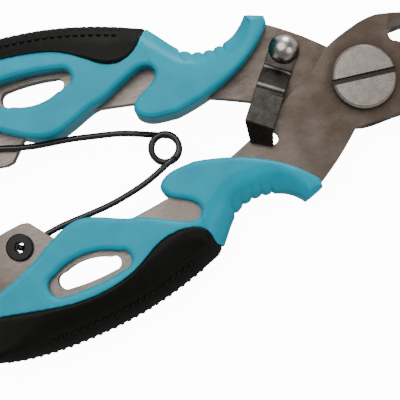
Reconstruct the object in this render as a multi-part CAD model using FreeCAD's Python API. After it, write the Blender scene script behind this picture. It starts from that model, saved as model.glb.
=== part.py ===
import FreeCAD, Part
import math
import os

# Curved-jaw fishing pliers, millimetres.
# Origin: on the pivot axis, on the plane that the tool lies on. +X runs along the tool towards
# the jaws, +Y towards the upper handle, +Z up through the plates. The jaws are shut and latched.
# Handle outlines are given as (x, w), with w the distance from the tool's centre line: y = w on
# the upper handle (side +1) and y = -w on the lower handle (side -1). Both handles share them,
# apart from the lists that have one entry for each side.

V = FreeCAD.Vector
UPPER = 1
LOWER = -1

# ---- plates -------------------------------------------------------------------------------
plate_t = 3.0            # thickness of each steel plate
slide_gap = 0.05         # running gap between faces that slide on each other
lap_gap = 0.2            # gap between a plate's round head and the other plate's thick jaw
jaw_gap = 0.12           # gap between the shut jaws

# ---- pivot --------------------------------------------------------------------------------
screw_head_r = 6.0
screw_head_t = 1.9
screw_chamfer = 0.45
screw_slot_w = 1.1
screw_slot_depth = 0.9
screw_slot_angle = -6.0
screw_r = 2.5
barrel_r = 4.0           # outside of the sleeve nut's barrel, which both plates turn on
barrel_fit = 0.05        # radial running clearance on the barrel
nut_flats = 11.0
nut_head_t = 2.0
nut_floor = 1.0          # metal left behind the sleeve nut's blind hole
nut_chamfer = 0.5
screw_end_gap = 0.4      # the screw's end stops this short of the blind hole's floor
washer_r = 6.2
washer_t = 0.5

nut_back_z = 0.0
washer_z = nut_back_z + nut_head_t
rear_z = washer_z + washer_t + slide_gap
rear_top = rear_z + plate_t
front_z = rear_top + slide_gap
front_top = front_z + plate_t
mid_z = (rear_top + front_z) / 2

# ---- jaws ---------------------------------------------------------------------------------
throat = (8.4, 5.95)     # where the jaws' meeting line starts, at the round end of the throat
meet_heading = -14.0     # direction of the meeting line there, degrees
meet_r = 80.0            # radius that the meeting line curves down with
meet_len = 38.0          # length of the meeting line
throat_r = 1.35          # round end of the throat window
throat_half = 2.2        # half of the window's greatest width
throat_len = 12.0
cutter_end = 16.5        # the plain cutting edges end and the gripping teeth start here
tooth_pitch = 1.5
tooth_depth = 0.45
tooth_count = 12
hook_len = 1.7           # the upper jaw's tip reaches past the lower one by this much
hook_drop = 1.3
grind_start = (8.0, 9.0)  # a point on the line where the grinding starts
grind_heading = -33.0    # direction that the grinding runs in, square to that line
grind_depth = 0.8        # how much thinner each jaw is ground on each side
grind_run = 6.0          # length of the sloping ground face
grind_len = 60.0         # past the tips
grind_tip_depth = 1.5    # depth there
lap_r = math.hypot(throat[0], throat[1])
disc_r = lap_r - lap_gap
rear_head_r = 8.8        # the rear plate's round head, which stays behind the front plate's outline
block_corner = (3.2, 8.0)  # inside that head, where the two straight sides of the upper jaw's block meet

upper_back = [(-5.1, 7.5), (-2.7, 8.6), (0.2, 9.6), (3.2, 10.4), (6.2, 10.6)]
upper_jaw_back = [(6.2, 10.6), (10.5, 9.6), (18.4, 7.0), (28.0, 2.6), (36.5, -3.5), (43.0, -10.3)]
lower_head_y = -8.5
lower_jaw_back = [(4.6, -8.5), (14.0, -8.5), (24.0, -9.3), (32.0, -11.6), (38.4, -14.9)]

# ---- handle plates, (x, w) ----------------------------------------------------------------
neck_outer = [(-4.3, 8.4), (-8.6, 12.3), (-14.2, 16.4)]
shoulder = (-16.2, 15.0)
buried_outer = [(-16.2, 15.0), (-20.5, 12.2), (-26.0, 11.4), (-31.5, 13.8), (-37.5, 19.0), (-50.0, 24.0),
                (-64.0, 26.2), (-78.0, 25.6), (-87.0, 22.6)]
handle_end = [(-87.0, 22.6), (-92.6, 17.4), (-88.6, 12.0)]
end_inner = {
    UPPER: [(-88.6, 12.0), (-80.0, 8.7), (-69.0, 6.3)],
    LOWER: [(-88.6, 12.0), (-80.0, 7.9), (-69.4, 5.4)],
}
tab_corner = {UPPER: (-67.6, 6.6), LOWER: (-68.1, 5.6)}
tab_root = (-64.6, 9.8)
buried_inner = [(-64.6, 9.8), (-58.0, 11.4), (-51.5, 11.3), (-42.0, 9.7), (-29.0, 6.4), (-23.8, 4.2),
                (-18.5, 1.5), (-14.0, -1.4), (-8.8, -4.2), (-6.6, -6.0), (-5.1, -7.5)]
window_hole = [(-64.4, 16.6), (-60.3, 15.6), (-55.4, 16.6), (-53.8, 17.9), (-55.2, 19.2), (-59.8, 19.8),
               (-64.6, 19.8), (-66.2, 18.3)]
lanyard_r = 2.0
lanyard_at = (-85.5, 14.6)

# ---- grips, (x, w) ------------------------------------------------------------------------
core_half = 5.2          # half thickness of the hard plastic grip
pad_half = mid_z - nut_back_z   # the pads lie on the same plane as the back of the nut
grip_round = 0.8         # round of the palm-side edges
palm_edge_len = 15.0     # only edges longer than this, and further out than palm_edge_w, are rounded
palm_edge_w = 14.5
palm_edge_end = -86.0
grip_tip = [(-14.0, 15.4), (-13.9, 17.0), (-17.4, 18.4)]
grip_groove = [(-17.4, 18.4), (-20.3, 16.0), (-25.2, 14.8), (-29.6, 15.8), (-33.0, 19.2), (-36.0, 22.9)]
grip_palm = [(-36.0, 22.9), (-43.5, 25.9), (-53.0, 28.6), (-63.0, 30.0), (-74.0, 30.2), (-84.0, 28.3)]
grip_end = [(-84.0, 28.3), (-91.5, 22.8), (-88.0, 19.6)]
grip_loop = [(-88.0, 19.6), (-78.0, 16.8), (-70.4, 13.7), (-66.0, 11.1), (-62.2, 9.0), (-58.4, 8.2),
             (-55.6, 8.8), (-50.0, 11.0)]
grip_pocket = [(-50.0, 11.0), (-43.7, 13.3), (-40.6, 14.7), (-38.8, 15.2), (-37.1, 14.7), (-36.6, 13.4),
               (-37.5, 12.0), (-39.5, 10.7), (-41.8, 9.3), (-42.6, 7.7), (-41.2, 5.9), (-38.7, 5.1),
               (-35.2, 4.8)]
grip_lobe = [(-35.2, 4.8), (-29.0, 6.1), (-21.5, 9.2), (-14.0, 15.4)]
grip_window = [(-66.3, 16.7), (-60.0, 14.7), (-53.6, 16.2), (-51.7, 17.9), (-53.4, 19.7), (-59.8, 20.8),
               (-66.4, 20.9), (-68.1, 19.0)]
pad_edge = {
    UPPER: [(-34.0, 24.6), (-36.4, 21.4), (-39.0, 18.6), (-42.5, 17.2), (-46.0, 18.2), (-49.2, 20.9),
            (-52.4, 23.4), (-57.5, 25.1), (-64.0, 26.0), (-76.0, 25.0), (-95.0, 20.5)],
    LOWER: [(-34.0, 24.6), (-35.3, 20.6), (-37.4, 17.2), (-41.0, 16.2), (-45.4, 16.9), (-50.1, 19.6),
            (-55.5, 22.0), (-61.5, 22.9), (-68.0, 22.4), (-78.0, 20.8), (-95.0, 20.5)],
}

# ---- latch --------------------------------------------------------------------------------
rivet_at = (-12.1, 10.3)
rivet_r = 1.5
rivet_fit = 0.05
rivet_dome_r = 2.95
rivet_dome_h = 1.8
rivet_tail_r = 2.5
rivet_tail_t = 0.9
strip_t = 1.0
strip_w = 5.5
strip_angle = -126.5     # direction from the rivet to the latch's free end
strip_rise_start = 4.5   # distances from the rivet
strip_rise_end = 9.0
strip_bend = 15.8
strip_end_r = 2.9
strip_miter = 0.41       # how far the strip's bend lines shift between its two faces
strip_bend_r = 1.5       # inside radius of the strip's two bends
latch_lift = 0.3         # the latch's hook stays this far above the front plate's face
latch_level = front_top + 1.6
hook_left = (-24.0, -4.9)
hook_right = (-20.2, -7.0)
notch_at = (-19.9, -5.2)
notch_w = 2.6
notch_heading = 149.0
notch_len = 9.0

# ---- spring -------------------------------------------------------------------------------
wire_d = 1.2
coil_r = 2.65
coil_at = (-39.4, -0.3)
coil_turns = 2.0
coil_pitch = wire_d + 0.08
leg_points = {
    UPPER: [(-46.4, 5.3), (-56.0, 7.2), (-63.5, 8.0)],
    LOWER: [(-44.8, 5.5), (-52.0, 7.2), (-63.5, 7.9)],
}
leg_radii = [30.0, 45.0, 30.0]
leg_bend = 0.85          # radius that each leg's end turns down into its eyelet with
anchor_at = {UPPER: (-71.2, 10.3), LOWER: (-70.9, 9.6)}
leg_gap = 0.25           # gap between the middle plane and each spring leg, at its anchor
leg_lift = wire_d / 2 + leg_gap
eyelet_r = 2.6
eyelet_flange = 0.8
eyelet_barrel_r = 1.9
eyelet_bore_r = 0.95


# ---- drawing helpers ----------------------------------------------------------------------
def point(p, z=0.0, side=UPPER):
    return V(p[0], side * p[1], z)


def smooth(points, side=UPPER):
    curve = Part.BSplineCurve()
    curve.interpolate([point(p, 0, side) for p in points])
    return curve.toShape()


def straight(a, b, side=UPPER):
    return Part.makeLine(point(a, 0, side), point(b, 0, side))


def polyline(points, side=UPPER):
    return [straight(a, b, side) for a, b in zip(points, points[1:])]


def arc_ring(points, side=UPPER):
    """A closed outline of arcs: each passes through one point and ends at the next but one."""
    ring = [point(p, 0, side) for p in points + points[:1]]
    return [Part.Arc(ring[i], ring[i + 1], ring[i + 2]).toShape() for i in range(0, len(points), 2)]


def arc_about_pivot(radius, start_deg, end_deg):
    def at(deg):
        return V(radius * math.cos(math.radians(deg)), radius * math.sin(math.radians(deg)), 0)
    return Part.Arc(at(start_deg), at((start_deg + end_deg) / 2), at(end_deg)).toShape()


def slab(edges, bottom, top):
    """A flat solid between two heights, with these edges as its outline."""
    wire = Part.Wire(Part.__sortEdges__(edges))
    face = Part.Face(wire)
    face.translate(V(0, 0, bottom))
    return face.extrude(V(0, 0, top - bottom))


def cylinder(radius, bottom, top, at=(0.0, 0.0)):
    return Part.makeCylinder(radius, top - bottom, V(at[0], at[1], bottom))


def heading(deg):
    return V(math.cos(math.radians(deg)), math.sin(math.radians(deg)), 0)


def rounded_path(points, radii):
    """Straight runs with a tangent arc at each inner point."""
    edges = []
    start = points[0]
    for i, radius in enumerate(radii):
        corner = points[i + 1]
        into = (corner - points[i]).normalize()
        out = (points[i + 2] - corner).normalize()
        turn = into.getAngle(out)
        reach = radius * math.tan(turn / 2)
        a = corner - into * reach
        b = corner + out * reach
        bisector = (out - into).normalize()
        centre = corner + bisector * (radius / math.cos(turn / 2))
        middle = centre - bisector * radius
        edges.append(Part.makeLine(start, a))
        edges.append(Part.Arc(a, middle, b).toShape())
        start = b
    edges.append(Part.makeLine(start, points[-1]))
    return edges


# ---- jaws ---------------------------------------------------------------------------------
def on_meet(s, offset=0.0):
    """A point on the jaws' meeting line, at arc length s, moved up towards the upper jaw."""
    turn = s / meet_r
    ahead = heading(meet_heading)
    right = heading(meet_heading - 90)
    p = point(throat) + ahead * (meet_r * math.sin(turn)) + right * (meet_r * (1 - math.cos(turn)))
    up = heading(meet_heading - math.degrees(turn) + 90)
    p = p + up * offset
    return (p.x, p.y)


def meet_line(jaw):
    """A jaw's working edge: smooth cutting edge, gripping teeth, plain tip. jaw is +1 or -1."""
    stand_off = jaw * jaw_gap / 2
    points = [on_meet(s, stand_off) for s in (0.0, 5.5, 11.0, cutter_end)]
    for i in range(tooth_count):
        s = cutter_end + i * tooth_pitch
        points.append(on_meet(s + tooth_pitch / 2, stand_off + jaw * tooth_depth))
        points.append(on_meet(s + tooth_pitch, stand_off))
    return points


def throat_window():
    """The leaf-shaped opening between the jaws, round at the pivot end."""
    back = on_meet(-throat_r)
    upper = [on_meet(0.0, throat_r), on_meet(throat_len * 0.45, throat_half), on_meet(throat_len, 0.02)]
    lower = [on_meet(0.0, -throat_r), on_meet(throat_len * 0.45, -throat_half), on_meet(throat_len, -0.02)]
    round_end = Part.Arc(point(upper[0]), point(back), point(lower[0])).toShape()
    edges = [round_end, smooth(upper), smooth(lower), straight(upper[-1], lower[-1])]
    return slab(edges, rear_z - 1, front_top + 1)


def grind_cuts():
    """Two wedges that grind the jaws thinner, from a slanting line just past the throat.

    They leave the round head at its full thickness."""
    start = point(grind_start)
    along = heading(grind_heading)
    across = heading(grind_heading + 90) * grind_len
    head = cylinder(lap_r, rear_z - plate_t, front_top + plate_t)
    cuts = []
    for top, outward in ((front_top, 1), (rear_z, -1)):
        side_view = [(0, 0), (grind_run, -grind_depth), (grind_len, -grind_tip_depth), (grind_len, 1), (0, 1)]
        profile = [start + along * run + V(0, 0, top + outward * rise) for run, rise in side_view]
        face = Part.Face(Part.makePolygon(profile + profile[:1]))
        face.translate(across * -0.5)
        cuts.append(face.extrude(across).cut(head))
    return cuts


def upper_jaw_edges():
    """The upper jaw's outline from the back of the head round its tip to the throat."""
    working = meet_line(UPPER)
    tip_in = on_meet(meet_len - hook_len, jaw_gap / 2)
    hook_in = on_meet(meet_len - hook_len + 0.2, -hook_drop)
    hook_out = on_meet(meet_len, -hook_drop + 0.5)
    return ([smooth(upper_jaw_back)] + polyline([upper_jaw_back[-1], hook_out, hook_in, tip_in])
            + polyline([tip_in] + working[::-1]))


def lower_jaw_edges():
    working = meet_line(LOWER)
    tip_in = on_meet(meet_len - hook_len - 0.25, -jaw_gap / 2)
    return ([smooth(lower_jaw_back)] + polyline([lower_jaw_back[-1], tip_in])
            + polyline([tip_in] + working[::-1]))


def round_start(jaw, radius):
    """Where a jaw's working edge meets the round head, pulled in to the head's own radius."""
    edge = meet_line(jaw)[0]
    angle = math.degrees(math.atan2(edge[1], edge[0]))
    inner = heading(angle) * radius
    return edge, (inner.x, inner.y), angle


def upper_jaw_block():
    """The upper jaw behind the front plate: it brings the jaw to the full thickness."""
    edges = upper_jaw_edges() + polyline([upper_jaw_back[0], block_corner, meet_line(UPPER)[0]])
    return slab(edges, rear_z, front_z).cut(cylinder(rear_head_r + lap_gap, rear_z - 1, front_z))


def lower_jaw_block():
    """The lower jaw in front of the rear plate."""
    edges = lower_jaw_edges() + [straight(lower_jaw_back[0], meet_line(LOWER)[0])]
    return slab(edges, rear_top, front_top).cut(cylinder(lap_r, rear_top, front_top + 1))


# ---- plates -------------------------------------------------------------------------------
def handle_edges(side):
    """A plate's outline from its neck round the handle and back to the head."""
    return ([smooth(neck_outer, side), straight(neck_outer[-1], shoulder, side), smooth(buried_outer, side),
             smooth(handle_end, side), smooth(end_inner[side], side)]
            + polyline([end_inner[side][-1], tab_corner[side], tab_root], side)
            + [smooth(buried_inner, side)])


def mirror(p):
    return (p[0], -p[1])


def anchor(side):
    """The middle of one spring eyelet."""
    return (anchor_at[side][0], side * anchor_at[side][1])


def common_cuts(side, bottom, top):
    hole = slab(arc_ring(window_hole, side), bottom - 1, top + 1)
    eye = cylinder(eyelet_barrel_r, bottom - 1, top + 1, anchor(side))
    bore = cylinder(barrel_r + barrel_fit, bottom - 1, top + 1)
    return [hole, eye, bore, throat_window()] + grind_cuts()


def front_plate():
    edge, inner, angle = round_start(UPPER, disc_r)
    corner_x = math.sqrt(disc_r ** 2 - lower_head_y ** 2)
    corner_angle = math.degrees(math.atan2(lower_head_y, corner_x))
    edges = handle_edges(LOWER) + [smooth(upper_back)] + upper_jaw_edges()
    edges += [straight(edge, inner), arc_about_pivot(disc_r, angle, corner_angle),
              straight((corner_x, lower_head_y), mirror(neck_outer[0]))]
    plate = slab(edges, front_z, front_top).fuse(upper_jaw_block())
    notch_end = point(notch_at) + heading(notch_heading) * notch_len
    across = heading(notch_heading + 90) * (notch_w / 2)
    start = point(notch_at)
    corners = [start + across, notch_end + across, notch_end - across, start - across]
    slot = Part.Face(Part.makePolygon(corners + corners[:1])).extrude(V(0, 0, plate_t + 2))
    slot.translate(V(0, 0, front_z - 1))
    notch = slot.fuse(cylinder(notch_w / 2, front_z - 1, front_top + 1, notch_at))
    lanyard = cylinder(lanyard_r, front_z - 1, front_top + 1, mirror(lanyard_at))
    return plate.cut(common_cuts(LOWER, front_z, front_top) + [notch, lanyard]).removeSplitter()


def rear_plate():
    edge, inner, angle = round_start(LOWER, rear_head_r)
    neck = neck_outer[0]
    neck_angle = math.degrees(math.atan2(neck[1], neck[0]))
    neck_rim = heading(neck_angle) * rear_head_r
    under = [mirror(upper_back[0]), (-2.5, lower_head_y), (1.0, lower_head_y - 0.1), lower_jaw_back[0]]
    edges = handle_edges(UPPER) + [smooth(under)] + lower_jaw_edges()
    edges += [straight(edge, inner), arc_about_pivot(rear_head_r, angle, neck_angle),
              straight((neck_rim.x, neck_rim.y), neck)]
    edges = [e for e in edges if e.Length > 1e-3]
    plate = slab(edges, rear_z, rear_top).fuse(lower_jaw_block())
    rivet_hole = cylinder(rivet_r, rear_z - 1, rear_top + 1, rivet_at)
    return plate.cut(common_cuts(UPPER, rear_z, rear_top) + [rivet_hole]).removeSplitter()


# ---- pivot --------------------------------------------------------------------------------
def pivot_screw():
    head = cylinder(screw_head_r, front_top, front_top + screw_head_t)
    head = head.makeChamfer(screw_chamfer, [e for e in head.Edges if abs(e.CenterOfMass.z - front_top) > 1])
    shank = cylinder(screw_r, nut_back_z + nut_floor + screw_end_gap, front_top)
    slot = Part.makeBox(4 * screw_head_r, screw_slot_w, screw_slot_depth + 1)
    slot.translate(V(-2 * screw_head_r, -screw_slot_w / 2, front_top + screw_head_t - screw_slot_depth))
    slot.rotate(V(0, 0, 0), V(0, 0, 1), screw_slot_angle)
    return head.fuse(shank).cut(slot).removeSplitter()


def pivot_nut():
    corner_r = nut_flats / 2 / math.cos(math.radians(30))
    corners = [heading(60 * i) * corner_r for i in range(7)]
    head = Part.Face(Part.makePolygon(corners)).extrude(V(0, 0, nut_head_t))
    cone = Part.makeCone(corner_r - nut_chamfer, corner_r + nut_head_t - nut_chamfer, nut_head_t)
    head = head.common(cone)
    barrel = cylinder(barrel_r, nut_head_t, front_top - slide_gap)
    return head.fuse(barrel).cut(cylinder(screw_r, nut_floor, front_top + 1)).removeSplitter()


def pivot_washer():
    ring = cylinder(washer_r, washer_z, washer_z + washer_t)
    return ring.cut(cylinder(barrel_r + barrel_fit, washer_z - 1, washer_z + washer_t + 1))


# ---- latch --------------------------------------------------------------------------------
def latch_rivet():
    seat = rear_top + slide_gap + strip_t + slide_gap
    ball_r = (rivet_dome_r ** 2 + rivet_dome_h ** 2) / (2 * rivet_dome_h)
    ball = Part.makeSphere(ball_r, V(rivet_at[0], rivet_at[1], seat + rivet_dome_h - ball_r))
    dome = ball.common(cylinder(rivet_dome_r, seat, seat + rivet_dome_h, rivet_at))
    shank = cylinder(rivet_r, rear_z, seat, rivet_at)
    tail = cylinder(rivet_tail_r, rear_z - rivet_tail_t, rear_z, rivet_at)
    tail = tail.makeFillet(0.4, [e for e in tail.Edges if e.CenterOfMass.z < rear_z - rivet_tail_t + 0.01])
    return dome.fuse([shank, tail]).removeSplitter()


def strip_point(along, across, z):
    d = heading(strip_angle)
    n = heading(strip_angle + 90)
    return V(rivet_at[0], rivet_at[1], 0) + d * along + n * across + V(0, 0, z)


def latch_strip():
    low = rear_top + slide_gap
    half = strip_w / 2
    under = [(0, low), (strip_rise_start, low), (strip_rise_end, latch_level), (strip_bend, latch_level)]
    shifts = (0, strip_miter, strip_miter, 0)
    over = [(a - shift, z + strip_t) for (a, z), shift in zip(under, shifts)]
    under = [strip_point(a, -half, z) for a, z in under]
    over = [strip_point(a, -half, z) for a, z in over]
    outside_r = strip_bend_r + strip_t
    edges = rounded_path(under, [outside_r, strip_bend_r]) + rounded_path(over, [strip_bend_r, outside_r])
    edges += [Part.makeLine(under[0], over[0]), Part.makeLine(under[-1], over[-1])]
    profile = Part.Face(Part.Wire(Part.__sortEdges__(edges)))
    band = profile.extrude(heading(strip_angle + 90) * strip_w)
    eye = cylinder(strip_end_r, low, low + strip_t, rivet_at)
    hook_z = front_top + latch_lift
    near = [strip_point(strip_bend, -half, latch_level), strip_point(strip_bend, half, latch_level),
            strip_point(strip_bend, half, latch_level + strip_t),
            strip_point(strip_bend, -half, latch_level + strip_t)]
    far = [point(hook_left, hook_z), point(hook_right, hook_z), point(hook_right, hook_z + strip_t),
           point(hook_left, hook_z + strip_t)]
    hook = Part.makeLoft([Part.makePolygon(near + near[:1]), Part.makePolygon(far + far[:1])], True, True)
    hole = cylinder(rivet_r + rivet_fit, low - 1, low + strip_t + 1, rivet_at)
    return band.fuse([eye, hook]).cut(hole).removeSplitter()


# ---- spring -------------------------------------------------------------------------------
def coil_touch(side):
    """Direction from the coil's centre to the place where a leg leaves it at a tangent, degrees."""
    near = point(leg_points[side][0], 0, side)
    reach = near - point(coil_at)
    lean = math.degrees(math.atan2(reach.y, reach.x))
    return lean - side * math.degrees(math.acos(coil_r / reach.Length))


def coil_wound():
    """Turns of wire between the two legs: whole turns, and the part between the two tangents."""
    return coil_turns + (coil_touch(UPPER) - coil_touch(LOWER)) % 360 / 360


def on_coil(share):
    """A point on the coil, from the upper leg at the back (0) to the lower leg at the front (1)."""
    turned = heading(coil_touch(UPPER) - 360 * coil_wound() * share) * coil_r
    return point(coil_at, mid_z + coil_wound() * coil_pitch * (share - 0.5)) + turned


def coil_path():
    """The coil as equal arcs that rise evenly and meet at a tangent."""
    pieces = math.ceil(coil_wound() * 2)
    return [Part.Arc(on_coil(i / pieces), on_coil((i + 0.5) / pieces), on_coil((i + 1) / pieces)).toShape()
            for i in range(pieces)]


def leg_path(side):
    """One leg, from the coil's tangent to the bent end that stands in its eyelet."""
    start = on_coil(0) if side == UPPER else on_coil(1)
    leg_z = mid_z + side * leg_lift
    far_z = mid_z - side * (plate_t + slide_gap)
    points = [start]
    run = coil_at[0] - leg_points[side][-1][0]
    for p in leg_points[side]:
        share = (coil_at[0] - p[0]) / run
        points.append(point(p, start.z + (leg_z - start.z) * share, side))
    points.append(point(anchor(side), leg_z))
    points.append(point(anchor(side), far_z))
    return rounded_path(points, leg_radii + [leg_bend])


def return_spring():
    """Left-hand coil between two legs, one wire from end to end.

    The lower handle's leg leaves the coil at the front, the upper handle's at the back."""
    path = leg_path(UPPER)[::-1] + coil_path() + leg_path(LOWER)
    wire = Part.Wire(Part.__sortEdges__(path))
    end = point(anchor(UPPER), mid_z - plate_t - slide_gap)
    section = Part.Wire([Part.makeCircle(wire_d / 2, end, V(0, 0, 1))])
    return wire.makePipeShell([section], True, False)


def spring_eyelet(side):
    """A flanged ring through a plate's tab, its flange on the side away from the spring leg."""
    at = anchor(side)
    if side == LOWER:
        bottom, top = front_z, front_top + eyelet_flange
        flange = cylinder(eyelet_r, front_top, top, at)
    else:
        bottom, top = rear_z - eyelet_flange, rear_top
        flange = cylinder(eyelet_r, bottom, rear_z, at)
    outer_z = top if side == LOWER else bottom
    flange = flange.makeFillet(0.35, [e for e in flange.Edges if abs(e.CenterOfMass.z - outer_z) < 0.01])
    barrel = cylinder(eyelet_barrel_r, bottom, top, at)
    return flange.fuse(barrel).cut(cylinder(eyelet_bore_r, bottom - 1, top + 1, at)).removeSplitter()


# ---- grips --------------------------------------------------------------------------------
def grip_blank(side, half):
    curves = (grip_groove, grip_palm, grip_end, grip_loop, grip_pocket, grip_lobe)
    edges = polyline(grip_tip, side) + [smooth(curve, side) for curve in curves]
    blank = slab(edges, mid_z - half, mid_z + half)
    palm = [e for e in blank.Edges if is_palm_edge(e)]
    return blank.makeFillet(grip_round, palm)


def is_palm_edge(edge):
    """True for the top and bottom edges along the finger groove and the palm."""
    centre = edge.valueAt((edge.FirstParameter + edge.LastParameter) / 2)
    flat = abs(edge.valueAt(edge.FirstParameter).z - edge.valueAt(edge.LastParameter).z) < 0.01
    return flat and edge.Length > palm_edge_len and abs(centre.y) > palm_edge_w and centre.x > palm_edge_end


def pad_region(side):
    far = [(-95.0, 40.0), (-34.0, 40.0)]
    edge = pad_edge[side]
    edges = [smooth(edge, side)] + polyline([edge[-1], far[0], far[1], edge[0]], side)
    return slab(edges, -5, 2 * mid_z + 5)


def grip_core(side, plate):
    window = slab(arc_ring(grip_window, side), -5, 2 * mid_z + 5)
    return grip_blank(side, core_half).cut([pad_region(side), window, plate])


def grip_pad(side, plate):
    return grip_blank(side, pad_half).common(pad_region(side)).cut(plate)


# ---- output -------------------------------------------------------------------------------
front = front_plate()
rear = rear_plate()
nodes = {
    "front_plate": front,
    "rear_plate": rear,
    "pivot_screw": pivot_screw(),
    "pivot_nut": pivot_nut(),
    "pivot_washer": pivot_washer(),
    "latch_strip": latch_strip(),
    "latch_rivet": latch_rivet(),
    "return_spring": return_spring(),
    "lower_spring_eyelet": spring_eyelet(LOWER),
    "upper_spring_eyelet": spring_eyelet(UPPER),
    "lower_grip_core": grip_core(LOWER, front),
    "upper_grip_core": grip_core(UPPER, rear),
    "lower_grip_pad": grip_pad(LOWER, front),
    "upper_grip_pad": grip_pad(UPPER, rear),
}

os.makedirs("parts", exist_ok=True)
for name, shape in nodes.items():
    shape.exportStep("parts/" + name + ".step")
    box = shape.BoundBox
    print(f"{name:20s} solids {len(shape.Solids)} valid {shape.isValid()} volume {shape.Volume:8.1f}"
          f"  x {box.XMin:.1f}..{box.XMax:.1f}  y {box.YMin:.1f}..{box.YMax:.1f}"
          f"  z {box.ZMin:.2f}..{box.ZMax:.2f}")
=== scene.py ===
import math

import bmesh
import bpy
import numpy as np
from mathutils import Matrix, Vector
from mathutils.kdtree import KDTree


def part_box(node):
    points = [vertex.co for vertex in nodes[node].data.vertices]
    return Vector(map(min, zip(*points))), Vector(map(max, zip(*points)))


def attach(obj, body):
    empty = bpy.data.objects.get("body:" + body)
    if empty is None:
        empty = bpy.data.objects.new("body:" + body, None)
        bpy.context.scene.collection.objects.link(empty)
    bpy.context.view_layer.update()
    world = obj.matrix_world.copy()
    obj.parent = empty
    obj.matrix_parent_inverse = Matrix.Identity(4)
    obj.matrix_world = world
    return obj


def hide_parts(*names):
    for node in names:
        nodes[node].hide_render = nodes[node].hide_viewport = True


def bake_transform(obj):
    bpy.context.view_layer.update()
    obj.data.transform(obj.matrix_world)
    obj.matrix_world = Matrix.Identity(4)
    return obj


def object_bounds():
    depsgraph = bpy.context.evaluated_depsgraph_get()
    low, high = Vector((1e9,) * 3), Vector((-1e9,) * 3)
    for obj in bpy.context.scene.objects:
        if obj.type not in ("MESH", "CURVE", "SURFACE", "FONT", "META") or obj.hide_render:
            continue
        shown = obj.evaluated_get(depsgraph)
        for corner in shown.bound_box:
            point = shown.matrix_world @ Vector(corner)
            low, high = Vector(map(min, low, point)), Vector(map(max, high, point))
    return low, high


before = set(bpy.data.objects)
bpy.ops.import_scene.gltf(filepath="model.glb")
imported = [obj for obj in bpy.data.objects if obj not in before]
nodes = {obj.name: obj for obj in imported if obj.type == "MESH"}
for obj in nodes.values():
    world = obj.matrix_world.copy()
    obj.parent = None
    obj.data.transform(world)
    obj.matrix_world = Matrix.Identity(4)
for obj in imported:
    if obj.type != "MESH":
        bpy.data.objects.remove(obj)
size_at_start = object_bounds()
MM = 0.001
SIDES = {"upper": 1, "lower": -1}
BODY = {"upper": "rear_half", "lower": "front_half"}
mid_z = (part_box("upper_grip_core")[0].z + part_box("upper_grip_core")[1].z) / 2 / MM


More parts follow.
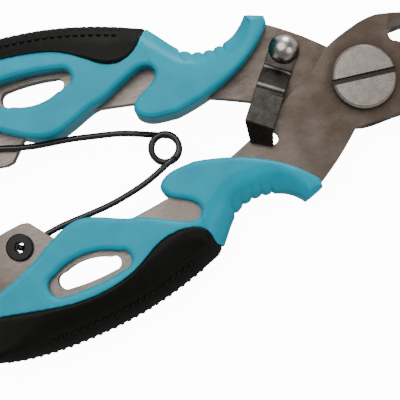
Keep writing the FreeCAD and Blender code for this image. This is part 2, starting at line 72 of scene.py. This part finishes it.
# ---- node helpers -------------------------------------------------------------------------
class Shader:
    """A Principled material whose inputs are fed by texture nodes in millimetres."""

    def __init__(self, name):
        self.material = bpy.data.materials.new(name)
        self.material.use_nodes = True
        self.tree = self.material.node_tree
        self.tree.nodes.clear()
        self.surface = self.tree.nodes.new("ShaderNodeBsdfPrincipled")
        output = self.tree.nodes.new("ShaderNodeOutputMaterial")
        self.tree.links.new(self.surface.outputs[0], output.inputs[0])
        coordinates = self.tree.nodes.new("ShaderNodeTexCoord")
        to_mm = self.tree.nodes.new("ShaderNodeVectorMath")
        to_mm.operation = "SCALE"
        to_mm.inputs["Scale"].default_value = 1 / MM
        self.tree.links.new(coordinates.outputs["Object"], to_mm.inputs[0])
        self.place = to_mm.outputs[0]

    def link(self, source, socket):
        self.tree.links.new(source, socket)

    def set(self, socket, value):
        self.surface.inputs[socket].default_value = value

    def feed(self, socket, source):
        self.link(source, self.surface.inputs[socket])

    def stretched(self, scale, turn):
        """Object coordinates scaled and turned about the upright axis, in degrees."""
        mapping = self.tree.nodes.new("ShaderNodeMapping")
        mapping.inputs["Scale"].default_value = scale
        mapping.inputs["Rotation"].default_value = (0, 0, math.radians(turn))
        self.link(self.place, mapping.inputs["Vector"])
        return mapping.outputs[0]

    def noise(self, scale, detail, rough, vector=None):
        node = self.tree.nodes.new("ShaderNodeTexNoise")
        node.inputs["Scale"].default_value = scale
        node.inputs["Detail"].default_value = detail
        node.inputs["Roughness"].default_value = rough
        self.link(vector or self.place, node.inputs["Vector"])
        return node.outputs[0]

    def cells(self, scale, vector):
        node = self.tree.nodes.new("ShaderNodeTexVoronoi")
        node.inputs["Scale"].default_value = scale
        self.link(vector, node.inputs["Vector"])
        return node.outputs["Distance"]

    def span(self, value, from_low, from_high, to_low, to_high):
        """A value moved from one range to another, kept within the second."""
        node = self.tree.nodes.new("ShaderNodeMapRange")
        for socket, number in zip(("From Min", "From Max", "To Min", "To Max"),
                                  (from_low, from_high, to_low, to_high)):
            node.inputs[socket].default_value = number
        self.link(value, node.inputs["Value"])
        return node.outputs[0]

    def math(self, operation, a, b=None):
        """One sum on sockets or numbers."""
        node = self.tree.nodes.new("ShaderNodeMath")
        node.operation = operation
        for i, value in enumerate((a, b)):
            if value is None:
                continue
            if isinstance(value, (int, float)):
                node.inputs[i].default_value = value
            else:
                self.link(value, node.inputs[i])
        return node.outputs[0]

    def mix(self, factor, a, b):
        """Colour a where the factor is 0, colour b where it is 1."""
        node = self.tree.nodes.new("ShaderNodeMix")
        node.data_type = "RGBA"
        for socket, value in (("A", a), ("B", b)):
            target = [s for s in node.inputs if s.name == socket and s.type == "RGBA"][0]
            if isinstance(value, tuple):
                target.default_value = (*value, 1)
            else:
                self.link(value, target)
        self.link(factor, node.inputs["Factor"])
        return [s for s in node.outputs if s.type == "RGBA"][0]

    def distance_from(self, point):
        """Distance from an upright axis through this point."""
        flat = self.tree.nodes.new("ShaderNodeVectorMath")
        flat.operation = "MULTIPLY_ADD"
        flat.inputs[1].default_value = (1, 1, 0)
        flat.inputs[2].default_value = (-point[0], -point[1], 0)
        self.link(self.place, flat.inputs[0])
        length = self.tree.nodes.new("ShaderNodeVectorMath")
        length.operation = "LENGTH"
        self.link(flat.outputs[0], length.inputs[0])
        return length.outputs["Value"]

    def along(self, direction):
        """How far a point lies along this direction, in mm."""
        product = self.tree.nodes.new("ShaderNodeVectorMath")
        product.operation = "DOT_PRODUCT"
        product.inputs[1].default_value = direction
        self.link(self.place, product.inputs[0])
        return product.outputs["Value"]

    def bump(self, height, depth_mm):
        """Relief this deep on the surface."""
        node = self.tree.nodes.new("ShaderNodeBump")
        node.inputs["Strength"].default_value = 1.0
        node.inputs["Distance"].default_value = depth_mm * MM
        self.link(height, node.inputs["Height"])
        self.feed("Normal", node.outputs[0])


# ---- materials ----------------------------------------------------------------------------
pivot = (0, 0)
rivet_at = (-12.1, 10.3)
plate_bright = (0.215, 0.185, 0.163)
plate_dark = (0.062, 0.046, 0.035)
plate_speck = (0.08, 0.06, 0.047)
plate_grime_and_shade = (0.035, 0.026, 0.020)
screw_bright = (0.215, 0.188, 0.168)
rivet_bright = (0.34, 0.315, 0.295)
slot_shade_and_dirt = (0.03, 0.026, 0.022)
strip_light = (0.036, 0.033, 0.030)
strip_dark = (0.022, 0.020, 0.018)
coating_dark = (0.005, 0.005, 0.005)
coating_light = (0.011, 0.010, 0.009)
cyan_deep = (0.0, 0.215, 0.30)
cyan_light = (0.0, 0.245, 0.34)
rubber_dark = (0.002, 0.002, 0.0015)
rubber_light = (0.006, 0.0055, 0.0045)
floor_light = (0.93, 0.93, 0.93)
floor_lighter = (0.95, 0.95, 0.95)
slot_half = 0.55         # half the width of the screw's slot
slot_turn = math.radians(6)
slot_across = (math.sin(slot_turn), math.cos(slot_turn), 0)
strip_lie = 126.5        # turns the streaks to run along the latch strip, degrees


def steel_plate():
    """Ground steel: darker near the pivot and at the handles' ends, with grime and a painted contact shadow
    round the screw's foot.
    """
    s = Shader("plate steel")
    near_pivot = s.span(s.distance_from(pivot), 8, 48, 1.0, 0.0)
    patches = s.span(s.noise(0.11, 4, 0.6), 0.35, 0.65, -0.16, 0.16)
    near_end = s.span(s.distance_from(pivot), 60, 82, 0.0, 0.6)
    tint = s.math("ADD", s.math("ADD", near_pivot, near_end), patches)
    grains = s.noise(1.0, 3, 0.6, s.stretched((0.5, 5.0, 1.0), 35))
    base = s.mix(tint, plate_bright, plate_dark)
    specks = s.span(s.noise(1.6, 4, 0.65), 0.42, 0.62, 0.0, 1.0)
    worn = s.mix(s.math("MULTIPLY", specks, 0.18), base, plate_speck)
    # A dark ring round the screw's foot: partly grime, partly painted contact shade where the head stands
    # on the plate.
    grime_and_contact_shade = s.span(s.distance_from(pivot), 6.0, 7.8, 0.75, 0.0)
    s.feed("Base Color", s.mix(grime_and_contact_shade, worn, plate_grime_and_shade))
    s.set("Metallic", 1.0)
    s.feed("Roughness", s.span(grains, 0.3, 0.7, 0.34, 0.52))
    dents = s.span(s.cells(0.55, s.stretched((1.6, 0.7, 1), 40)), 0.0, 0.9, 1.0, 0.0)
    fine = s.math("ADD", grains, s.noise(2.2, 4, 0.6))
    s.bump(s.math("ADD", s.math("MULTIPLY", dents, 0.3), fine), 0.014)
    return s.material


def turned_steel(name, centre, base, rings, depth, roughness, slot_top=None):
    """Bright steel with turned rings round a centre; slot_top is the height of a head with a slot, which is
    painted dark inside as shade and dirt.
    """
    s = Shader(name)
    radius = s.distance_from(centre)
    ridges = s.math("SINE", s.math("MULTIPLY", radius, rings))
    spots = s.noise(1.1, 4, 0.6)
    darker = tuple(0.62 * c for c in base)
    worn = s.mix(s.span(spots, 0.35, 0.7, 0.0, 0.7), base, darker)
    if slot_top:
        # The inside of the slot is painted dark: painted shade in the recess, together with dirt.
        below = s.span(s.along((0, 0, 1)), slot_top - 0.25, slot_top - 0.1, 1.0, 0.0)
        from_slot = s.math("ABSOLUTE", s.along(slot_across))
        in_slot = s.span(from_slot, slot_half - 0.02, slot_half + 0.03, 1.0, 0.0)
        s.feed("Base Color", s.mix(s.math("MULTIPLY", below, in_slot), worn, slot_shade_and_dirt))
    else:
        s.feed("Base Color", worn)
    s.set("Metallic", 1.0)
    s.feed("Roughness", s.span(s.noise(3.0, 3, 0.6), 0.3, 0.7, roughness - 0.06, roughness + 0.08))
    s.bump(s.math("ADD", s.math("MULTIPLY", ridges, 0.35), s.noise(2.5, 4, 0.6)), depth)
    return s.material


def dark_strip():
    """Dark spring steel, drawn along the latch strip."""
    s = Shader("dark strip")
    streaks = s.noise(1.0, 4, 0.6, s.stretched((0.6, 6.0, 1.0), strip_lie))
    clouds = s.span(s.noise(0.7, 4, 0.6), 0.35, 0.65, 0, 1)
    s.feed("Base Color", s.mix(clouds, strip_light, strip_dark))
    s.set("Metallic", 1.0)
    s.feed("Roughness", s.span(streaks, 0.3, 0.7, 0.22, 0.30))
    s.bump(s.math("ADD", streaks, s.noise(1.5, 4, 0.6)), 0.004)
    return s.material


def black_coating(name, roughness, gloss):
    """Black coated metal."""
    s = Shader(name)
    s.feed("Base Color", s.mix(s.noise(1.2, 3, 0.6), coating_dark, coating_light))
    s.feed("Roughness", s.span(s.noise(2.0, 3, 0.6), 0.3, 0.7, roughness - 0.06, roughness + 0.08))
    s.set("Specular IOR Level", gloss)
    s.bump(s.noise(3.0, 3, 0.6), 0.01)
    return s.material


def cyan_plastic():
    """Hard glossy plastic."""
    s = Shader("cyan plastic")
    cloud = s.span(s.noise(0.18, 3, 0.5), 0.35, 0.65, 0.0, 1.0)
    s.feed("Base Color", s.mix(cloud, cyan_deep, cyan_light))
    s.feed("Roughness", s.span(s.noise(4.0, 3, 0.6), 0.3, 0.7, 0.26, 0.36))
    s.set("Specular IOR Level", 0.12)
    grain = s.math("MULTIPLY", s.noise(5.0, 3, 0.6), 0.5)
    s.bump(s.math("ADD", grain, s.noise(0.5, 2, 0.5)), 0.02)
    return s.material


def black_rubber():
    """Soft black rubber."""
    s = Shader("black rubber")
    s.feed("Base Color", s.mix(s.noise(0.5, 4, 0.6), rubber_dark, rubber_light))
    s.feed("Roughness", s.span(s.noise(3.5, 4, 0.6), 0.3, 0.7, 0.34, 0.46))
    s.set("Specular IOR Level", 0.08)
    s.bump(s.noise(6.0, 4, 0.65), 0.03)
    return s.material


# ---- meshes -------------------------------------------------------------------------------
same_point = 1e-6
relax_rounds = 3
relax_shares = (0.5, -0.52)


def mesh_object(name, points, faces, material):
    """A smooth-shaded object from points in metres."""
    mesh = bpy.data.meshes.new(name)
    mesh.from_pydata([tuple(p) for p in points], [], faces)
    mesh.validate()
    mesh.materials.append(material)
    mesh.polygons.foreach_set("use_smooth", [True] * len(mesh.polygons))
    made = bpy.data.objects.new(name, mesh)
    bpy.context.scene.collection.objects.link(made)
    return made


def outlines(node, height):
    """The closed outlines of a CAD node cut level at this height in mm: (x, y) arrays, largest first."""
    cut_mesh = bmesh.new()
    cut_mesh.from_mesh(nodes[node].data)
    bmesh.ops.remove_doubles(cut_mesh, verts=cut_mesh.verts, dist=1e-7)
    geometry = cut_mesh.verts[:] + cut_mesh.edges[:] + cut_mesh.faces[:]
    at_height = (0, 0, height * MM)
    cut = bmesh.ops.bisect_plane(cut_mesh, geom=geometry, plane_co=at_height, plane_no=(0, 0, 1))
    edges = {g for g in cut["geom_cut"] if isinstance(g, bmesh.types.BMEdge)}
    loops = []
    while edges:
        edge = edges.pop()
        first, at = edge.verts
        ring = [first, at]
        while True:
            step = [e for e in at.link_edges if e in edges]
            if not step:
                break
            edges.discard(step[0])
            at = step[0].other_vert(at)
            if at is first:
                break
            ring.append(at)
        loops.append(in_order(np.array([(v.co.x, v.co.y) for v in ring]) / MM))
    cut_mesh.free()
    return sorted((p for p in loops if len(p) > 8), key=lambda p: -abs(area(p)))


def area(ring):
    """The area inside a ring: above 0 when the ring runs anticlockwise."""
    x, y = ring[:, 0], ring[:, 1]
    return 0.5 * float(np.sum(x * np.roll(y, -1) - y * np.roll(x, -1)))


def in_order(ring):
    """The ring anticlockwise from its leftmost point, wherever it started: every run gives the same."""
    if area(ring) < 0:
        ring = ring[::-1]
    leftmost = np.lexsort((ring[:, 1], ring[:, 0]))[0]
    return np.roll(ring, -leftmost, axis=0)


def resampled(ring, step):
    """Evenly spaced points round a closed ring, with the normal that points into the material."""
    closed = np.vstack([ring, ring[:1]])
    lengths = np.hypot(*np.diff(closed, axis=0).T)
    along = np.concatenate([[0], np.cumsum(lengths)])
    at = np.arange(0, along[-1], step)
    points = np.column_stack([np.interp(at, along, closed[:, i]) for i in (0, 1)])
    ahead = np.roll(points, -3, axis=0) - np.roll(points, 3, axis=0)
    ahead /= np.linalg.norm(ahead, axis=1)[:, None]
    inward = np.column_stack([-ahead[:, 1], ahead[:, 0]])
    return points, inward * np.sign(area(ring))


def smoothstep(value, low, high):
    """0 at low and 1 at high, with a soft start and end; low may be the greater."""
    t = np.clip((value - low) / (high - low), 0, 1)
    return t * t * (3 - 2 * t)


class Rim:
    """Points along an outline, with the normal into the material and the rounding at each."""

    def __init__(self, points, inward, across, down):
        self.points, self.inward, self.across, self.down = points, inward, across, down
        self.tree = KDTree(len(points))
        for i, p in enumerate(points):
            self.tree.insert((p[0], p[1], 0), i)
        self.tree.balance()

    def nearest(self, flat):
        """For each (x, y): the nearest rim point's number, and how deep in the material it lies."""
        found = [self.tree.find((x, y, 0)) for x, y in flat]
        index = np.array([f[1] for f in found])
        offset = flat - self.points[index]
        depth = np.maximum(0, np.sum(offset * self.inward[index], axis=1))
        reach = np.hypot(*offset.T)
        return index, np.where(depth > 0.3 * reach, reach, depth)

    def round(self, points, half):
        """Rolls the surface over towards the rim: a quarter ellipse, across wide and down high."""
        index, depth = self.nearest(points[:, :2])
        across, down = self.across[index], self.down[index]
        u = np.clip(1 - depth / across, 0, 1)
        height = points[:, 2] - mid_z
        w = np.clip(1 - (half - np.abs(height)) / down, 0, 1)
        inward = across * u * (1 - np.sqrt(1 - w * w / 2))
        lower = down * w * (1 - np.sqrt(1 - u * u / 2))
        points[:, :2] += self.inward[index] * inward[:, None]
        points[:, 2] -= np.sign(height) * lower
        return points


def remeshed(node, voxel):
    """The CAD node's shape with an even fine mesh: points in mm and faces."""
    work = bpy.data.objects.new(node + "_fine", nodes[node].data.copy())
    bpy.context.scene.collection.objects.link(work)
    weld = work.modifiers.new("weld", "WELD")
    weld.merge_threshold = same_point
    fine = work.modifiers.new("fine", "REMESH")
    fine.mode = "VOXEL"
    fine.voxel_size = voxel * MM
    evaluated = work.evaluated_get(bpy.context.evaluated_depsgraph_get())
    mesh = evaluated.to_mesh()
    points = np.zeros(len(mesh.vertices) * 3)
    mesh.vertices.foreach_get("co", points)
    faces = [tuple(p.vertices) for p in mesh.polygons]
    evaluated.to_mesh_clear()
    bpy.data.objects.remove(work)
    return points.reshape(-1, 3) / MM, faces


def relaxed(points, faces):
    """Evens out a voxel mesh's stair steps: points move to their neighbours' mean and part way back."""
    ends = np.array([(f[i], f[(i + 1) % len(f)]) for f in faces for i in range(len(f))])
    count = np.bincount(ends[:, 0], minlength=len(points))[:, None]
    for share in relax_shares * relax_rounds:
        total = np.zeros_like(points)
        for axis in range(3):
            total[:, axis] = np.bincount(ends[:, 0], points[ends[:, 1], axis], len(points))
        points = points + share * (total / np.maximum(count, 1) - points)
    return points


# ---- grips --------------------------------------------------------------------------------
voxel = 0.25             # the grips' mesh size
rim_step = 0.1           # spacing of the points along their outlines
seam_reach = 0.15        # points this close to the other piece lie on the seam
groove_end = -36.0
palm_start = -15.5       # the palm side lies between palm_start and palm_end along x
palm_end = -84.0
palm_w = 14.4            # the palm side lies further than this from the tool's centre line
groove_across = 4.0
pad_across = 7.5
roll_down = 4.9          # how far down the palm side is rolled over
small_round = 1.0
end_round = small_round + 0.6
lip = 0.8                # round of the pad's edge along the seam
lip_down = 0.7           # its height, as a share of its width
tip_fade = (-21.0, -16.0)    # each fade runs between these two places along x
end_fade = (-68.0, -84.0)
crease_at = 5.6          # the grip's face slopes down towards the palm from this depth
crease_slope = 0.13
crease_tip_fade = (-17.0, -23.0)
crease_end_fade = (-84.0, -70.0)
scallop_pitch = 1.9
scallop_depth = 0.55
scallop_reach = (2.6, 0.2)
scallops = (-31.6, -22.4)
dot_pitch = 1.5
dot_r = 0.52
dot_h = 0.28
dot_run = (-80.0, -40.0)
dot_rows = range(-3, 4)
dot_sides = 8
dot_wrap_r = 5.6         # the rows are spaced as on a round edge of this radius
dot_top = 0.9            # a dot reaches this far out of the pad, and dot_foot into it, in dot_h
dot_foot = 0.6
dot_rings = ((0.55, 0.68), (1.0, -0.35))    # the rings between: radius in dot_r, height in dot_h
sink_depth = 3.0         # the pad is pulled in by dot_h over this depth, to leave room for the dots
level = mid_z + 3.9      # height of the cut that gives the grips' outlines


def grip_rims(side):
    """The palm-side rim and the inner rims of one grip, from its two CAD pieces cut above the plate."""
    sign = SIDES[side]
    rings = {kind: outlines(f"{side}_grip_{kind}", level) for kind in ("core", "pad")}
    parts = {"palm": [], "inner": [], "seam": []}
    for kind, other in (("core", "pad"), ("pad", "core")):
        others = np.vstack([resampled(ring, rim_step)[0] for ring in rings[other]])
        neighbour = KDTree(len(others))
        for i, p in enumerate(others):
            neighbour.insert((p[0], p[1], 0), i)
        neighbour.balance()
        for number, ring in enumerate(rings[kind]):
            points, inward = resampled(ring, rim_step)
            if number > 0:
                inward = -inward
            for p, n in zip(points, inward):
                touching = neighbour.find((p[0], p[1], 0))[2] < seam_reach
                faces_palm = -n[1] * sign > 0.2 and p[1] * sign > palm_w
                if touching and kind == "pad":
                    parts["seam"].append((*p, *n))
                elif not touching and number == 0 and faces_palm and palm_end < p[0] < palm_start:
                    parts["palm"].append((*p, *n))
                elif not touching:
                    parts["inner"].append((*p, *n))
    return {where: np.array(rows) for where, rows in parts.items()}


def palm_rounding(x):
    """How wide and how high the palm side is rolled over at x; it fades towards both ends."""
    near_tip = smoothstep(x, *tip_fade)
    near_end = smoothstep(x, *end_fade)
    pad = smoothstep(x, groove_end + 4, groove_end - 6)
    across = groove_across + (pad_across - groove_across) * pad
    fade = np.maximum(near_tip, near_end)
    return across + (end_round - across) * fade, roll_down + (end_round - roll_down) * fade


def shaped(side, kind, rims):
    """One grip piece: the CAD shape with its palm side rolled over, ridges in the groove and soft edges."""
    node = f"{side}_grip_{kind}"
    points, faces = remeshed(node, voxel)
    half = (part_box(node)[1].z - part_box(node)[0].z) / 2 / MM
    palm, inner, seam = rims["palm"], rims["inner"], rims["seam"]
    across, down = palm_rounding(palm[:, 0])
    palm_rim = Rim(palm[:, :2], palm[:, 2:], across, np.minimum(down, half))
    index, depth = palm_rim.nearest(points[:, :2])
    x = points[:, 0]
    points = palm_rim.round(points, half)
    crease = np.clip(1 - depth / np.where(x > groove_end - 1, crease_at, pad_across), 0, 1)
    crease *= crease_slope * smoothstep(x, *crease_tip_fade) * smoothstep(x, *crease_end_fade)
    points[:, 2] = mid_z + (points[:, 2] - mid_z) * (1 - crease)
    if kind == "core":
        run = np.clip((x - scallops[0]) / (scallops[1] - scallops[0]), 0, 1)
        window = smoothstep(run, 0.0, 0.06) * smoothstep(run, 1.0, 0.94)
        notch = 1 - np.abs(np.cos(math.pi * (x - scallops[0]) / scallop_pitch))
        near = smoothstep(depth, *scallop_reach)
        points[:, :2] += palm_rim.inward[index] * (scallop_depth * notch ** 2 * window * near)[:, None]
    else:
        points[:, :2] += palm_rim.inward[index] * (dot_h * smoothstep(depth, sink_depth, 0.0))[:, None]
    small = np.full(len(inner), small_round)
    points = Rim(inner[:, :2], inner[:, 2:], small, small).round(points, half)
    if kind == "pad":
        width = np.full(len(seam), lip)
        points = Rim(seam[:, :2], seam[:, 2:], width, width * lip_down).round(points, half)
    lowest, highest = (np.array(corner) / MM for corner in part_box(node))
    return np.clip(relaxed(points, faces), lowest, highest), faces, palm_rim, half


def dot_mesh(rim, half):
    """Small domes in rows along the pad's rolled edge."""
    order = np.argsort(rim.points[:, 0])
    palm, inward, across = rim.points[order], rim.inward[order], rim.across[order]
    keep = (palm[:, 0] > dot_run[0]) & (palm[:, 0] < dot_run[1])
    palm, inward, across = palm[keep], inward[keep], across[keep]
    along = np.concatenate([[0], np.cumsum(np.hypot(*np.diff(palm, axis=0).T))])
    points, faces = [], []
    turns = np.linspace(0, 2 * math.pi, dot_sides, endpoint=False)
    for row in dot_rows:
        angle = row * dot_pitch / dot_wrap_r
        for s in np.arange(0.5 * (row % 2) * dot_pitch, along[-1], dot_pitch):
            i = int(np.searchsorted(along, s))
            a = across[i]
            outward = np.array([*(-inward[i] * math.cos(angle) / a), math.sin(angle) / half])
            outward /= np.linalg.norm(outward)
            rolled = a * (1 - math.cos(angle))
            depth = rolled + dot_h * (1 - smoothstep(rolled, 0.0, sink_depth))
            rise = half * math.sin(angle) * (1 - crease_slope * (1 - min(1, depth / pad_across)))
            centre = np.array([*(palm[i] + inward[i] * depth), mid_z + rise])
            side_way = np.cross(outward, [0, 0, 1.0])
            side_way /= np.linalg.norm(side_way)
            up_way = np.cross(side_way, outward)
            base = len(points)
            points.append(centre + outward * dot_h * dot_top)
            for radius, lift in dot_rings:
                for t in turns:
                    across_way = side_way * math.cos(t) + up_way * math.sin(t)
                    points.append(centre + outward * dot_h * lift + across_way * radius * dot_r)
            points.append(centre - outward * dot_h * dot_foot)
            upper, lower = base + 1, base + 1 + dot_sides
            foot = lower + dot_sides
            for k in range(dot_sides):
                n = (k + 1) % dot_sides
                faces.append((base, upper + k, upper + n))
                faces.append((upper + k, lower + k, lower + n, upper + n))
                faces.append((foot, lower + n, lower + k))
    return np.array(points), faces


cyan = cyan_plastic()
rubber = black_rubber()
for side in SIDES:
    rims = grip_rims(side)
    points, faces = shaped(side, "core", rims)[:2]
    core = mesh_object(side + "_hard_grip", points * MM, faces, cyan)
    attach(core, BODY[side])
    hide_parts(side + "_grip_core")
    points, faces, rim, half = shaped(side, "pad", rims)
    dots, dot_faces = dot_mesh(rim, half)
    faces += [tuple(v + len(points) for v in face) for face in dot_faces]
    pad = mesh_object(side + "_soft_pad", np.vstack([points, dots]) * MM, faces, rubber)
    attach(pad, BODY[side])
    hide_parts(side + "_grip_pad")


# ---- spring -------------------------------------------------------------------------------
wire_r = 0.6
coil_r = 2.65
coil_pitch = 1.28
coil_turns = 2.0
coil_at = np.array([-39.4, -0.3])
leg_points = {
    1: [(-46.4, 5.3), (-56.0, 7.2), (-63.5, 8.0)],
    -1: [(-44.8, 5.5), (-52.0, 7.2), (-63.5, 7.9)],
}
leg_radii = [30.0, 45.0, 30.0, 0.85]
anchors = {1: (-71.2, 10.3), -1: (-70.9, 9.6)}
leg_lift = 0.85
leg_end_drop = 3.05
arc_points = 10
coil_points = 110
wire_sides = 20


def touch_angle(sign):
    """Direction from the coil's centre to where a leg leaves it at a tangent."""
    reach = np.array([leg_points[sign][0][0], sign * leg_points[sign][0][1]]) - coil_at
    return math.atan2(reach[1], reach[0]) - sign * math.acos(coil_r / np.hypot(*reach))


wound = coil_turns + ((touch_angle(1) - touch_angle(-1)) / (2 * math.pi)) % 1


def on_coil(share):
    """A point on the coil, from the upper handle's leg (0) to the lower handle's leg (1)."""
    angle = touch_angle(1) - 2 * math.pi * wound * share
    return np.array([coil_at[0] + coil_r * math.cos(angle), coil_at[1] + coil_r * math.sin(angle),
                     mid_z + wound * coil_pitch * (share - 0.5)])


def rounded(points, radii):
    """Points along straight runs with a tangent arc at each inner corner."""
    path = [points[0]]
    for i, radius in enumerate(radii):
        corner = points[i + 1]
        into = (corner - points[i]) / np.linalg.norm(corner - points[i])
        out = (points[i + 2] - corner) / np.linalg.norm(points[i + 2] - corner)
        turn = math.acos(np.clip(into @ out, -1, 1))
        bisector = (out - into) / np.linalg.norm(out - into)
        centre = corner + bisector * radius / math.cos(turn / 2)
        start = corner - into * radius * math.tan(turn / 2)
        arm = start - centre
        for t in np.linspace(0, turn, arc_points):
            path.append(centre + arm * math.cos(t) + into * radius * math.sin(t))
    path.append(points[-1])
    return np.array(path)


def leg_path(sign):
    """One leg's middle line, from the coil to the bent end in its eyelet."""
    start = on_coil(0 if sign > 0 else 1)
    leg_z = mid_z + sign * leg_lift
    run = coil_at[0] - leg_points[sign][-1][0]
    corners = [start]
    for x, w in leg_points[sign]:
        corners.append(np.array([x, sign * w, start[2] + (leg_z - start[2]) * (coil_at[0] - x) / run]))
    x, w = anchors[sign]
    corners.append(np.array([x, sign * w, leg_z]))
    corners.append(np.array([x, sign * w, mid_z - sign * leg_end_drop]))
    return rounded(corners, leg_radii)


def tube(name, path, radius, sides, material):
    """A round wire along a path in mm, with closed ends."""
    path = np.array([p for i, p in enumerate(path) if i == 0 or np.linalg.norm(p - path[i - 1]) > 1e-3])
    ahead = np.gradient(path, axis=0)
    ahead /= np.linalg.norm(ahead, axis=1)[:, None]
    across = np.cross(ahead[0], [0.3, 0.2, 1.0])
    points, faces = [], []
    for i, p in enumerate(path):
        across = across - ahead[i] * (across @ ahead[i])
        across /= np.linalg.norm(across)
        up = np.cross(ahead[i], across)
        for t in np.linspace(0, 2 * math.pi, sides, endpoint=False):
            points.append(p + radius * (across * math.cos(t) + up * math.sin(t)))
    for i in range(len(path) - 1):
        for k in range(sides):
            n = (k + 1) % sides
            faces.append((i * sides + k, i * sides + n, (i + 1) * sides + n, (i + 1) * sides + k))
    faces.append(tuple(range(sides))[::-1])
    faces.append(tuple((len(path) - 1) * sides + k for k in range(sides)))
    return mesh_object(name, np.array(points) * MM, faces, material)


spring_black = black_coating("spring black", 0.3, 0.4)
coil_path = [on_coil(t) for t in np.linspace(0, 1, coil_points)]
coil = tube("spring_coil", coil_path, wire_r, wire_sides, spring_black)
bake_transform(coil)
for side, sign in SIDES.items():
    leg = tube("spring_leg_" + side, leg_path(sign), wire_r, wire_sides, spring_black)
    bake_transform(leg)
    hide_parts("return_spring")
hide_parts("return_spring")


# ---- metal pieces -------------------------------------------------------------------------
def dress(node, material, edge_mm, sharper_than=35):
    """The CAD piece itself, with its sharp edges broken and its material on."""
    piece = nodes[node]
    piece.data.materials.clear()
    piece.data.materials.append(material)
    weld = piece.modifiers.new("weld", "WELD")
    weld.merge_threshold = same_point
    bevel = piece.modifiers.new("edges", "BEVEL")
    bevel.width = edge_mm * MM
    bevel.segments = 2
    bevel.limit_method = "ANGLE"
    bevel.angle_limit = math.radians(sharper_than)
    bevel.use_clamp_overlap = True
    normals = piece.modifiers.new("normals", "WEIGHTED_NORMAL")
    normals.keep_sharp = True


plate = steel_plate()
head_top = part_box("pivot_screw")[1].z / MM
screw_steel = turned_steel("turned steel", pivot, screw_bright, 14.0, 0.005, 0.3, head_top)
rivet_steel = turned_steel("rivet steel", rivet_at, rivet_bright, 3.0, 0.006, 0.27)
eyelet_black = black_coating("eyelet black", 0.24, 0.12)
for node in ("front_plate", "rear_plate"):
    dress(node, plate, 0.12)
for node in ("pivot_screw", "pivot_nut", "pivot_washer"):
    dress(node, screw_steel, 0.1)
dress("latch_rivet", rivet_steel, 0.12)
dress("latch_strip", dark_strip(), 0.25, 16)
for node in ("lower_spring_eyelet", "upper_spring_eyelet"):
    dress(node, eyelet_black, 0.1)


# ---- stage --------------------------------------------------------------------------------
floor_glow = 12.0
horizon_glow = 1.3
overhead_glow = 0.3
extent = 3.0
below_object = 0.00002

floor_shader = Shader("floor")
shade = floor_shader.noise(0.01, 2, 0.5)
floor_shader.feed("Base Color", floor_shader.mix(shade, floor_light, floor_lighter))
floor_shader.set("Roughness", 0.9)
floor_shader.set("Emission Color", (1, 1, 1, 1))
floor_shader.set("Emission Strength", floor_glow)
floor_z = size_at_start[0].z - below_object
corners = [(-extent, -extent, floor_z), (extent, -extent, floor_z),
           (extent, extent, floor_z), (-extent, extent, floor_z)]
floor = mesh_object("floor", corners, [(0, 1, 2, 3)], floor_shader.material)
# The floor glows white, but it neither lights the object nor shows in its gloss.
floor.visible_diffuse = False
floor.visible_glossy = False

# The world is brighter towards the horizon, so that rounded sides catch light.
world = bpy.data.worlds.new("studio")
bpy.context.scene.world = world
world.use_nodes = True
background = world.node_tree.nodes["Background"]
background.inputs["Color"].default_value = (1, 1, 1, 1)
direction = world.node_tree.nodes.new("ShaderNodeTexCoord")
split = world.node_tree.nodes.new("ShaderNodeSeparateXYZ")
above = world.node_tree.nodes.new("ShaderNodeMath")
above.operation = "ABSOLUTE"
glow = world.node_tree.nodes.new("ShaderNodeMapRange")
glow.inputs["From Min"].default_value = 0.1
glow.inputs["From Max"].default_value = 0.6
glow.inputs["To Min"].default_value = horizon_glow
glow.inputs["To Max"].default_value = overhead_glow
world.node_tree.links.new(direction.outputs["Generated"], split.inputs[0])
world.node_tree.links.new(split.outputs["Z"], above.inputs[0])
world.node_tree.links.new(above.outputs[0], glow.inputs["Value"])
world.node_tree.links.new(glow.outputs[0], background.inputs["Strength"])


def soft_light(name, place, aim, width, power):
    """A round area light of this width in metres and power in watts."""
    lamp = bpy.data.lights.new(name, "AREA")
    lamp.shape = "DISK"
    lamp.size = width
    lamp.energy = power
    made = bpy.data.objects.new(name, lamp)
    made.location = place
    made.rotation_euler = (Vector(aim) - Vector(place)).to_track_quat("-Z", "Y").to_euler()
    bpy.context.scene.collection.objects.link(made)


centre = (-0.035, 0, 0)
soft_light("key", (-0.10, 0.20, 0.46), centre, 0.45, 2.3)
soft_light("fill", (0.26, -0.16, 0.42), centre, 0.3, 0.8)
soft_light("rim", (0.17, 0.36, 0.15), centre, 0.2, 1.6)

# ---- camera -------------------------------------------------------------------------------
azimuth = math.radians(-0.4)
elevation = math.radians(85.5)
roll = math.radians(-18.3)
camera_distance = 0.237
target = Vector((-0.0363, -0.0117, 0.0056))
lens_mm = 113.1
level_part = math.cos(elevation)
back = Vector((math.sin(azimuth) * level_part, -math.cos(azimuth) * level_part, math.sin(elevation)))
right = (-back).cross(Vector((0, 0, 1))).normalized()
up = right.cross(-back)
right_rolled = right * math.cos(roll) + up * math.sin(roll)
up_rolled = up * math.cos(roll) - right * math.sin(roll)
camera_data = bpy.data.cameras.new("camera")
camera_data.lens = lens_mm
camera_data.clip_start = 0.01
camera = bpy.data.objects.new("camera", camera_data)
place = target + back * camera_distance
turned = Matrix((right_rolled, up_rolled, back)).transposed().to_4x4()
camera.matrix_world = Matrix.Translation(place) @ turned
bpy.context.scene.collection.objects.link(camera)
bpy.context.scene.camera = camera
